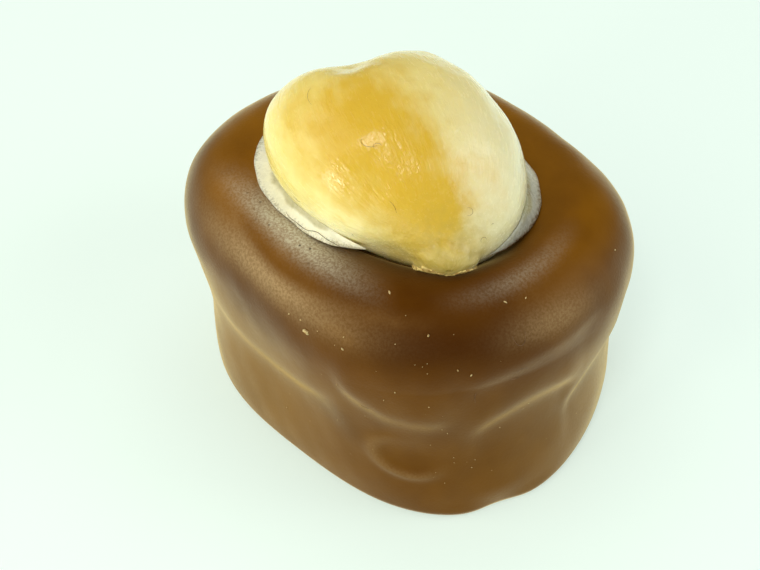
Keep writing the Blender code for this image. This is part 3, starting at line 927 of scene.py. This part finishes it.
        # Painted shade close to the nut, under its tip.
        off = points - np.array(self.nut.middle)
        beside = np.linalg.norm(off, axis=-1) - self.nut.reach(unit(off))
        under_tip = near_turn(turn, self.nut.tip_turn, self.tip_shade_width)
        return {
            # The bloom value also carries the painted floor reflection low on the right flank.
            "bloom_and_reflection": np.maximum(bloom_and_reflection, self.floor_reflection.at(turn, height)),
            "rub": np.clip(rub, 0.0, 1.0),
            "specks": self.bands[0].at(points) * top,
            "flank_sheen": flank_sheen,
            "shade": bell(beside / self.tip_shade_reach) * under_tip,
            # painted light along the rim's crest
            "crest": lit_crest_amber,
            # painted shade on the front shoulder
            "front_shade": self.front_shade_patch.at(turn, height),
        }

    def skin(self) -> Skin:
        """The coat's grid with uneven swells and a fine ripple along its normals."""
        turn = np.linspace(0.0, math.tau, self.columns, endpoint=False)
        points = self.section(turn)
        values = self.masks(points, turn)
        down = np.gradient(points, axis=0)
        round_it = np.roll(points, -1, axis=1) - np.roll(points, 1, axis=1)
        normals = unit(np.cross(down, round_it))
        swell = Ripple(21, 7.0 * MM, 0.035 * MM).at(points) + Ripple(22, 2.4 * MM, 0.010 * MM).at(points)
        beyond_hollow = np.arange(len(points))[:, None] >= Zone.HOLLOW.value
        lift = smooth_step(points[..., 2] / self.calm_foot) * beyond_hollow
        points = points + normals * (swell * lift)[..., None]
        lowest = self.hollow(np.zeros(1), 0.0)[0]
        return Skin.over(points, lowest, np.array((*self.foot_middle, 0.0)), values)

    def build(self) -> bpy.types.Object:
        """Makes and dresses the chocolate."""
        finish = ChocolateFinish().material()
        return self.skin().piece("chocolate_coat", finish, Slot.CHOCOLATE, "chocolate_body")


@dataclass
class Collar:
    """Set fat in the corner between nut and chocolate, open under the nut's tip."""

    nut: Nut
    coat: Coat
    ends: tuple[float, float] = (-8.0, 303.0)
    top_rise: tuple[float, float] = (-15.0, -8.0)
    thin_turn: float = 325.0
    least_reach: float = 0.50
    reach: tuple[float, float] = (0.96, 0.70)
    widening: float = 4.0
    taper: float = 9.0
    fullness: float = 0.22
    heel_rise: float = 9.0
    shoulder_drop: tuple[float, float] = (2.0, 4.0)
    right_turn: float = 45.0
    sink: float = 0.10 * MM
    toe_sink: float = 0.09 * MM
    far_turn: float = 246.0
    cool_turn: float = 12.0
    cool_width: float = 48.0
    rings: int = 260
    columns: int = 32

    def over_slope(self, turn: np.ndarray, share: np.ndarray, gap: float) -> np.ndarray:
        """Places a gap above the coat's inner slope, square to it."""
        share = share[..., None]
        run = self.coat.slope(turn, share + 0.02) - self.coat.slope(turn, share - 0.02)
        normal = unit(np.cross(run, heading(turn + math.pi / 2.0, 0.0)))
        return self.coat.slope(turn, share) + gap * normal

    def rightness(self, turn: np.ndarray) -> np.ndarray:
        """1 to the right of the nut and 0 to its left: a smooth step of a cosine."""
        return smooth_step(0.5 + 0.5 * np.cos(turn - math.radians(self.right_turn)))

    def shares(self, around: np.ndarray) -> tuple[np.ndarray, np.ndarray]:
        """How far outward and upward a place lies: cos and sin of its angle, bent by a power of 0.6."""
        outward = 0.5 + 0.5 * np.sign(np.cos(around)) * np.abs(np.cos(around)) ** 0.6
        upward = 0.5 - 0.5 * np.sign(np.sin(around)) * np.abs(np.sin(around)) ** 0.6
        return outward[None, :, None], upward[None, :, None]

    def section(self, turn: np.ndarray, around: np.ndarray) -> tuple[np.ndarray, np.ndarray]:
        """Places at each angle round the section at each turn, and the sections' middles.

        A section has four corners: the heel deep between nut and slope, the toe on the slope, and
        the shoulder and the top on the nut. A place is a double blend between them by its shares.

        Args:
            turn: turns in radians, shape (n,).
            around: angles round the section in radians, shape (columns,).

        Returns:
            Places, shape (n, columns, 3), and middles, shape (n, 1, 3).
        """
        behind = 0.5 - 0.5 * np.cos(turn - math.radians(self.thin_turn))
        ragged = 1.0 + 0.016 * np.sin(turn * 9.0 + 1.0) + 0.008 * np.sin(turn * 23.0 + 2.0)
        right = self.rightness(turn)
        widened = smooth_step(self.widening * behind)
        toe_share = blend(self.least_reach, blend(*self.reach, right), widened) * ragged
        deep = self.coat.contact_rise(turn) + math.radians(self.heel_rise)
        heel = self.nut.around(turn, deep, -self.sink)
        wander = math.radians(0.45) * (np.sin(turn * 7.0) + 0.6 * np.sin(turn * 17.0 + 1.0))
        rise = np.radians(blend(*self.top_rise, right)) + wander
        top = self.nut.around(turn, rise, -self.sink)
        drop = np.radians(blend(*self.shoulder_drop, right))
        span = np.linalg.norm(self.coat.shoulder(turn, 0.0) - heel, axis=-1)
        shoulder = self.nut.around(turn, rise - drop, self.fullness * toe_share * span - self.sink)
        toe = self.over_slope(turn, toe_share, -self.toe_sink)
        heel, toe, top, shoulder = (corner[:, None] for corner in (heel, toe, top, shoulder))
        outward, upward = self.shares(around)
        places = blend(blend(heel, toe, outward), blend(top, shoulder, outward), upward)
        return places, (heel + toe + shoulder + top) / 4.0

    def skin(self) -> Skin:
        """The section carried round the nut, tapered to nothing at both ends, with soft lumps."""
        share = np.linspace(0.0, 1.0, self.rings + 2)[1:-1]
        turn = np.radians(blend(*self.ends, share))
        around = np.linspace(0.0, math.tau, self.columns, endpoint=False)
        outward, upward = self.shares(around)
        places, middle = self.section(turn, around)
        size = smooth_step(self.taper * (0.5 - np.abs(share - 0.5))) ** 0.5
        rows = blend(middle, places, size[:, None, None])
        rows = rows + unit(rows - middle) * Ripple(31, 1.6 * MM, 0.012 * MM).at(rows)[..., None]
        far = smooth_step((math.radians(self.far_turn) - turn) / math.radians(24.0))
        far = far * smooth_step(turn - math.radians(90.0))
        edge = np.clip(outward[..., 0] + 0.7 * far[:, None], 0.0, 1.0)
        fringe = (outward * (1.0 - upward))[..., 0] + 0.5 * (1.0 - size[:, None])
        cool = near_turn(turn, self.cool_turn, self.cool_width)
        values = {"edge": edge, "cool": cool[:, None], "fringe": fringe}
        values = {name: np.broadcast_to(value, rows.shape[:2]) for name, value in values.items()}
        return Skin.over(rows, middle[0, 0], middle[-1, 0], values)

    def build(self) -> bpy.types.Object:
        """Makes and dresses the collar."""
        return self.skin().piece("fat_collar", FatFinish().material(), Slot.FAT, "nut_collar")


@dataclass
class TipSkin:
    """What is left of the brown skin: a thin ragged cap on the nut's tip."""

    nut: Nut
    radius: float = 0.10
    lower: float = 7.0
    stand_off: float = 0.30 * MM
    sink: float = 0.25 * MM
    columns: int = 160
    rows: int = 14

    def skin(self) -> Skin:
        """A lens over the tip.

        Its angle from the tip grows to radius * (1 + seeded waves round it), and its face stands
        off the nut by a wrinkled height that falls to the sunken underside past the edge.
        """
        draw = np.random.default_rng(41)
        spin = np.linspace(0.0, math.tau, self.columns, endpoint=False)[None, :]
        ragged = np.ones_like(spin)
        for count in (2, 3, 5, 8, 13, 21, 34):
            ragged = ragged + 0.16 / math.sqrt(count) * np.cos(count * spin + draw.uniform(0.0, math.tau))
        turn_over = np.linspace(0.0, math.pi, self.rows + 2)[1:-1, None]
        wide = 1.0 + 0.75 * np.cos(spin) ** 2
        angle = self.radius * ragged * wide * np.sin(turn_over) ** 0.8
        wrinkle = 0.6 + 0.5 * np.cos(19.0 * spin + 2.0) * np.cos(31.0 * spin)
        face = self.stand_off * (1.0 + 0.25 * wrinkle * np.sin(turn_over) ** 3)
        height = np.where(turn_over < math.pi / 2.0, face, self.sink * np.cos(turn_over))
        ways = self.nut.ways(np.broadcast_to(spin, angle.shape), angle, self.lower)
        rows = np.array(self.nut.middle) + ways * (self.nut.reach(ways) + height)[..., None]
        tip = self.nut.tip_axes(self.lower)[0]
        ends = [self.nut.at_end(tip) + tip * off for off in (self.stand_off, -self.sink)]
        return Skin.over(rows, ends[0], ends[1])

    def build(self) -> bpy.types.Object:
        """Makes and dresses the skin cap."""
        finish = DryFinish("tip_skin_flakes", (0.80, 0.64, 0.22), (0.46, 0.28, 0.07), 0.30 * MM)
        return self.skin().piece("tip_skin", finish.material(), Slot.NUT)


@dataclass
class Crumbs:
    """Nut crumbs on the chocolate: a few that stand out and a seeded dusting of tiny ones.

    A row of large holds a turn in degrees, then height and half sizes along and across in
    millimetres.
    """

    coat: Coat
    large: tuple[tuple[float, float, float, float], ...] = (
        (286.0, 13.00, 0.24, 0.16),
        (281.8, 14.70, 0.09, 0.07),
        (308.8, 15.60, 0.17, 0.07),
        (320.0, 14.60, 0.10, 0.06),
        (326.8, 12.75, 0.09, 0.05),
        (330.0, 12.30, 0.14, 0.05),
        (297.8, 13.20, 0.13, 0.05),
        (279.0, 13.30, 0.07, 0.06),
        (283.5, 13.45, 0.08, 0.06),
        (311.8, 11.10, 0.07, 0.05),
        (343.0, 15.20, 0.12, 0.04),
        (349.0, 15.10, 0.10, 0.04),
    )
    dusting: int = 80
    sides: int = 8
    seed: int = 51

    def places(self) -> tuple[np.ndarray, np.ndarray]:
        """Where the crumbs lie on the coat, and their half sizes along, across and up."""
        draw = np.random.default_rng(self.seed)
        count = self.dusting
        turn = np.concatenate([[crumb[0] for crumb in self.large], draw.normal(312.0, 26.0, count)])
        height = np.concatenate([[crumb[1] for crumb in self.large], draw.uniform(3.0, 15.4, count)]) * MM
        small = draw.uniform(0.012, 0.036, (count, 1)) * draw.uniform(0.6, 1.5, (count, 2))
        flat = np.concatenate([[crumb[2:] for crumb in self.large], small]) * MM
        places = self.coat.spot(np.radians(turn), height)
        return places, np.concatenate([flat, flat.min(1, keepdims=True)], 1)

    def skin(self) -> Skin:
        """One small ball of rings per crumb, stretched, turned at random and roughened."""
        draw = np.random.default_rng(self.seed + 1)
        places, sizes = self.places()
        up = np.linspace(0.0, math.pi, 5)[1:-1, None]
        spin = np.linspace(0.0, math.tau, self.sides, endpoint=False)[None, :]
        ball = np.stack([np.sin(up) * np.cos(spin), np.sin(up) * np.sin(spin), np.cos(up) + 0.0 * spin], -1)
        skins = []
        for place, size in zip(places, sizes):
            frame_of = np.linalg.qr(draw.normal(size=(3, 3)))[0]
            rough = draw.uniform(0.65, 1.25, ball.shape[:2])[..., None]
            ends = np.array([(0.0, 0.0, 1.0), (0.0, 0.0, -1.0)]) * size @ frame_of + place
            skins.append(Skin.over(ball * rough * size @ frame_of + place, ends[0], ends[1]))
        return Skin.joined(skins)

    def build(self) -> bpy.types.Object:
        """Makes and dresses the crumbs."""
        finish = DryFinish("nut_crumb", (0.62, 0.50, 0.24), (0.36, 0.22, 0.07), 0.12 * MM)
        return self.skin().piece("nut_crumbs", finish.material(), Slot.NUT)


@dataclass(frozen=True)
class Thread:
    """A fine fibre: an arc in the surface's own turn and height.

    Its places are (turn + across * cos a, height + up * sin a) for a from start over sweep, in
    degrees and, on the coat, millimetres of height.
    """

    on_nut: bool
    turn: float
    height: float
    across: float
    up: float
    start: float
    sweep: float


@dataclass
class Lint:
    """Dark fibres that cling to the nut and the chocolate."""

    nut: Nut
    coat: Coat
    collar: Collar
    threads: tuple[Thread, ...] = (
        Thread(True, -47.5, 8.5, 5.0, 6.5, 10.0, 60.0),
        Thread(True, -12.6, 7.5, 1.7, 1.5, -150.0, 250.0),
        Thread(True, -9.2, -4.6, 1.1, 1.0, -20.0, 240.0),
        Thread(True, -60.0, 41.5, 6.0, 2.2, 150.0, 190.0),
        Thread(True, -54.0, 40.0, 3.0, 1.6, 20.0, 200.0),
        Thread(True, -118.0, 48.0, 11.0, 5.0, 200.0, 90.0),
        Thread(True, -4.4, -0.2, 0.4, 0.3, 0.0, 200.0),
        Thread(True, -63.8, -10.1, 0.4, 0.3, 0.0, 200.0),
        Thread(True, -98.0, -4.0, 3.0, 1.5, 200.0, 130.0),
        Thread(False, 343.2, 14.1, 1.8, 0.75, 190.0, 160.0),
        Thread(False, 343.0, 11.3, 1.8, 0.45, 30.0, 120.0),
        Thread(False, 341.5, 11.2, 1.3, 0.25, 200.0, 120.0),
        Thread(False, 331.5, 10.2, 0.5, 0.5, 100.0, 120.0),
        Thread(False, 303.5, 9.2, 1.3, 0.12, 190.0, 150.0),
    )
    thickness: float = 0.009 * MM
    seam_thickness: float = 0.016 * MM
    seam_turns: tuple[float, float] = (252.0, 293.0)
    seam_lines: tuple[float, float] = (-6.0, 16.0)
    nut_lift: float = 0.07 * MM
    lift: float = 0.03 * MM
    steps: int = 22
    sides: int = 6

    def path(self, thread: Thread) -> np.ndarray:
        """Places of a fibre just above its surface."""
        angle = np.radians(thread.start + np.linspace(0.0, thread.sweep, self.steps))
        turn = np.radians(thread.turn + thread.across * np.cos(angle))
        height = thread.height + thread.up * np.sin(angle)
        if thread.on_nut:
            return self.nut.around(turn, np.radians(height), self.nut_lift)
        places = self.coat.spot(turn, height * MM)
        return places + heading(turn, 0.5) * self.lift

    def seam_path(self) -> np.ndarray:
        """A longer fibre that wanders along the collar between two lines near its outer edge."""
        share = np.linspace(0.0, 1.0, 3 * self.steps)
        turn = np.radians(blend(*self.seam_turns, share))
        places, _ = self.collar.section(turn, np.radians(self.seam_lines))
        wander = (0.5 + 0.4 * np.sin(share * 8.0) + 0.1 * np.sin(share * 21.0))[:, None]
        return blend(places[:, 0], places[:, 1], wander) + heading(turn, 0.9) * self.lift

    def tube(self, path: np.ndarray, thickness: float) -> Skin:
        """Circles of a thickness carried along a path and tapered at both ends."""
        along = unit(np.gradient(path, axis=0))
        side = unit(np.cross(along, np.array((0.3, -0.5, 0.8))))
        up = np.cross(along, side)
        angle = np.linspace(0.0, math.tau, self.sides, endpoint=False)[None, :, None]
        taper = np.sin(np.linspace(0.12, math.pi - 0.12, len(path)))[:, None, None] ** 0.4
        ring = np.cos(angle) * side[:, None] + np.sin(angle) * up[:, None]
        rows = path[:, None] + thickness * taper * ring
        return Skin.over(rows, path[0] - along[0] * thickness, path[-1] + along[-1] * thickness)

    def build(self) -> bpy.types.Object:
        """Makes and dresses the fibres."""
        skins = [self.tube(self.path(thread), self.thickness) for thread in self.threads]
        skins.append(self.tube(self.seam_path(), self.seam_thickness))
        finish = DryFinish("lint_fibre", (0.20, 0.10, 0.04), (0.05, 0.025, 0.012), 0.4 * MM, 0.7)
        return Skin.joined(skins).piece("lint_fibres", finish.material(), Slot.NUT)


@dataclass
class Lamp:
    """A soft square lamp that shines at the praline."""

    name: str
    turn: float
    rise: float
    distance: float
    size: float
    power: float
    colour: Colour
    mirrored: bool = True

    def build(self, aim: Vector) -> bpy.types.Object:
        """Hangs the lamp at its turn and rise round the aim, facing it."""
        data = bpy.data.lights.new(self.name, "AREA")
        data.size, data.energy, data.color = self.size, self.power, self.colour
        lamp = bpy.data.objects.new(self.name, data)
        away = Vector(heading(math.radians(self.turn), math.radians(self.rise)))
        lamp.location = aim + away * self.distance
        lamp.rotation_mode = "QUATERNION"
        lamp.rotation_quaternion = (-away).to_track_quat("-Z", "Y")
        lamp.visible_glossy = self.mirrored
        bpy.context.scene.collection.objects.link(lamp)
        return lamp


@dataclass
class Studio:
    """Pale paper floor, soft lamps and the camera."""

    aim: tuple[float, float, float] = (0.158 * MM, -3.157 * MM, 8.0 * MM)
    distance: float = 76.282 * MM
    turn: float = -45.0
    rise: float = 47.534
    view_angle: float = 36.0
    paper: Colour = (0.46, 0.54, 0.50)
    paper_glow: Colour = (0.82, 0.96, 0.88)
    glow: float = 0.50
    bounce: float = 0.85
    sky: Colour = (0.72, 0.84, 0.80)
    sky_light: float = 0.10
    far_glow: float = 0.86
    glow_reach: tuple[float, float] = (0.06, 0.28)
    floor_half: float = 1.6

    def camera(self) -> None:
        """A camera on a line at the turn and rise from the aim, looking back along it."""
        data = bpy.data.cameras.new("camera")
        data.sensor_width = 36.0
        data.lens = 18.0 / math.tan(math.radians(self.view_angle / 2.0))
        data.clip_start, data.clip_end = 0.005, 5.0
        eye = bpy.data.objects.new("camera", data)
        turn, rise = math.radians(self.turn), math.radians(self.rise)
        back = Vector(heading(turn, rise))
        right = Vector((-math.sin(turn), math.cos(turn), 0.0))
        up = back.cross(right)
        place = Vector(self.aim) + back * self.distance
        eye.matrix_world = Matrix((
            (right.x, up.x, back.x, place.x),
            (right.y, up.y, back.y, place.y),
            (right.z, up.z, back.z, place.z),
            (0.0, 0.0, 0.0, 1.0),
        ))
        bpy.context.scene.collection.objects.link(eye)
        bpy.context.scene.camera = eye

    def floor(self) -> None:
        """A square sheet of pale paper that glows a little, as if lit from all round."""
        mesh = bpy.data.meshes.new("paper_floor")
        half, low = self.floor_half, -0.02 * MM
        corners = [(x * half, y * half, low) for x, y in ((-1, -1), (1, -1), (1, 1), (-1, 1))]
        mesh.from_pydata(corners, [], [(0, 1, 2, 3)])
        mix = Recipe("pale_paper")
        mix.set(Base_Color=self.paper, Roughness=0.9, Specular_IOR_Level=0.0)
        seen = mix.node("LightPath", {}).outputs["Is Camera Ray"]
        away = mix.node("VectorMath", {0: mix.place}, operation="LENGTH").outputs["Value"]
        glow = mix.step(away, *self.glow_reach, self.glow, self.far_glow)
        mix.set(Emission_Color=self.paper_glow, Emission_Strength=mix.step(seen, 0.0, 1.0, self.bounce, glow))
        mesh.materials.append(mix.material)
        sheet = bpy.data.objects.new("paper_floor", mesh)
        bpy.context.scene.collection.objects.link(sheet)

    def surroundings(self) -> None:
        """A pale world that shows pale to the eye but lights and mirrors only faintly."""
        world = bpy.data.worlds.new("pale_room")
        world.use_nodes = True
        tree = world.node_tree
        background = tree.nodes["Background"]
        background.inputs["Color"].default_value = (*self.sky, 1.0)
        seen = tree.nodes.new("ShaderNodeLightPath").outputs["Is Camera Ray"]
        level = tree.nodes.new("ShaderNodeMapRange")
        level.inputs["To Min"].default_value = self.sky_light
        level.inputs["To Max"].default_value = 1.0
        tree.links.new(seen, level.inputs["Value"])
        tree.links.new(level.outputs[0], background.inputs["Strength"])
        bpy.context.scene.world = world

    def lamps(self) -> list[Lamp]:
        """Side lamps and small windows that show in the gloss, and two soft lamps that don't."""
        return [
            Lamp("left_softbox", 243.0, 32.0, 0.22, 0.20, 0.22, (1.0, 0.94, 0.78)),
            Lamp("low_fill", 266.0, 8.0, 0.30, 0.05, 0.20, (1.0, 0.93, 0.75)),
            Lamp("front_window", 290.0, 60.0, 0.22, 0.05, 0.12, (1.0, 0.97, 0.92)),
            Lamp("right_window", 42.0, 36.0, 0.22, 0.05, 0.026, (1.0, 1.0, 0.98)),
            Lamp("right_softbox", 32.0, 24.0, 0.22, 0.20, 0.25, (1.0, 0.98, 0.95)),
            Lamp("front_fill", 298.0, 14.0, 0.25, 0.20, 0.18, (1.0, 0.97, 0.88), mirrored=False),
            Lamp("back_softbox", 140.0, 58.0, 0.25, 0.25, 0.30, (1.0, 1.0, 0.98), mirrored=False),
        ]

    def build(self) -> None:
        """Sets up camera, floor, surroundings, lamps and plain colour handling."""
        self.camera()
        self.floor()
        self.surroundings()
        for lamp in self.lamps():
            lamp.build(Vector(self.aim))
        bpy.context.scene.view_settings.view_transform = "Standard"
        report.info("studio: floor, %d lamps and camera", len(self.lamps()))


def main() -> None:
    """Builds the praline and its studio."""
    logging.basicConfig(level=logging.INFO, format="%(name)s %(message)s")
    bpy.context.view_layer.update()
    nut = Nut()
    coat = Coat(nut)
    coat.build()
    nut.build()
    collar = Collar(nut, coat)
    collar.build()
    TipSkin(nut).build()
    Crumbs(coat).build()
    Lint(nut, coat, collar).build()
    Studio().build()


if __name__ == "__main__":
    main()
